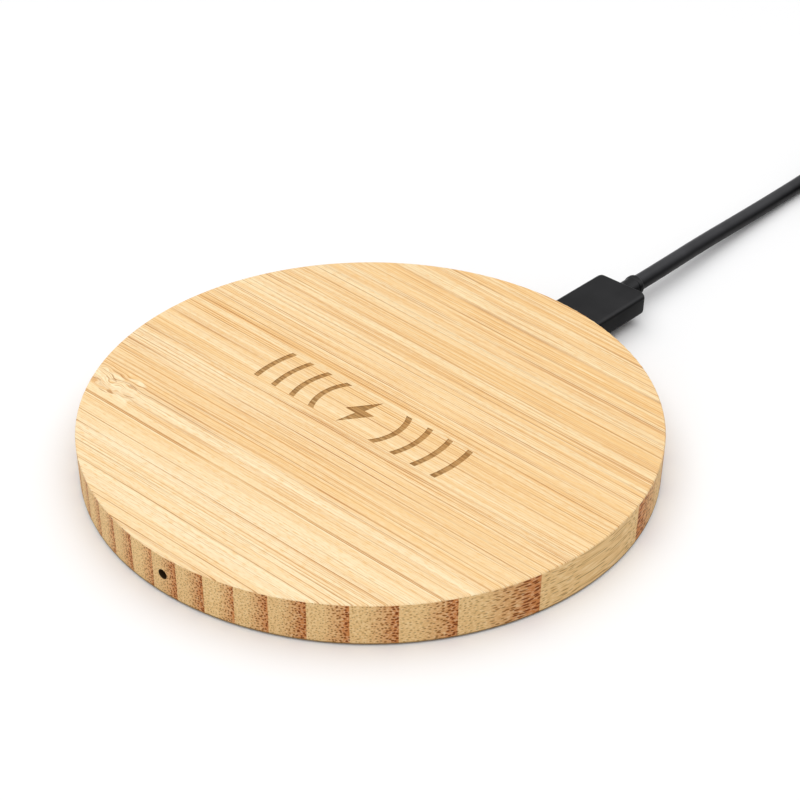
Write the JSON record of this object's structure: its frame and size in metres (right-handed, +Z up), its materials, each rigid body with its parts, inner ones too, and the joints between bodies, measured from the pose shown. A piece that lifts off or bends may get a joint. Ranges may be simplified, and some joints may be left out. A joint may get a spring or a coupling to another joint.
{
  "type": "wireless charging pad",
  "caption": "Round flat bamboo wireless charging pad with a laminated rim, a small indicator window and a slim plug-in USB lead.",
  "frame": {"origin": "centre of the pad's round footprint, on the surface it stands on", "axes": "+Z up, out of the charging face; +Y towards the side where the lead plugs in; the face's grain runs along X"},
  "size_m": [0.1074, 0.2303, 0.0081],
  "materials": {
    "bamboo_face": "sanded, clear matt oil",
    "bamboo_core": "sanded end grain",
    "cover_plastic": "moulded, fine texture",
    "silicone": "matt",
    "zinc_screw": "zinc plated",
    "nickel_screw": "nickel plated",
    "board_green": "solder mask",
    "chip_epoxy": "moulded",
    "capacitor_ceramic": "fired",
    "resistor_ceramic": "glazed",
    "inductor_ferrite": "sintered",
    "crystal_lid": "plated",
    "holder_plastic": "moulded",
    "light_lens": "diffused",
    "clear_pipe": "smoke tinted",
    "adhesive_tape": "double sided",
    "litz_wire": "enamelled copper strands",
    "ferrite": "sintered",
    "thermistor_glass": "glass bead",
    "port_steel": "drawn",
    "gold_contacts": "plated",
    "port_plastic": "moulded",
    "plug_steel": "drawn",
    "plug_plastic": "moulded satin",
    "cord_jacket": "extruded satin",
    "strap_fabric": "hook and loop",
    "white_plastic": "moulded"
  },
  "bodies": {
    "pad": {"face_veneer": "bamboo_face", "bamboo_core": "bamboo_core", "bottom_cover": "cover_plastic", "anti_slip_ring": "silicone", "cover_screws": "zinc_screw", "main_board": "board_green", "board_screws": "nickel_screw", "controller_chip": "chip_epoxy", "bridge_drivers": "chip_epoxy", "resonant_capacitors": "capacitor_ceramic", "power_inductor": "inductor_ferrite", "chip_capacitors": "capacitor_ceramic", "chip_resistors": "resistor_ceramic", "clock_crystal": "crystal_lid", "light_holder": "holder_plastic", "status_light": "light_lens", "light_pipe": "clear_pipe", "coil_adhesive": "adhesive_tape", "charging_coil": "litz_wire", "ferrite_adhesive": "adhesive_tape", "ferrite_sheet": "ferrite", "coil_leads": "litz_wire", "thermistor": "thermistor_glass", "receptacle_shell": "port_steel", "receptacle_contacts": "gold_contacts", "receptacle_tongue": "port_plastic"},
    "lead": {"plug_shell": "plug_steel", "plug_insulator": "port_plastic", "plug_contacts": "gold_contacts", "plug_board": "board_green", "plug_overmould": "plug_plastic", "plug_strain_relief": "plug_plastic", "cord_run": "cord_jacket", "cord_coil": "cord_jacket", "cord_tail": "cord_jacket", "cord_tie": "strap_fabric", "far_strain_relief": "plug_plastic", "far_overmould": "plug_plastic", "far_shell": "plug_steel", "far_insulator": "white_plastic", "far_contacts": "gold_contacts"}
  },
  "joints": [
    {"name": "plug_pull", "type": "slide", "parent": "pad", "child": "lead", "axis": [0, 1, 0], "range_m": [0, 0.015]}
  ]
}
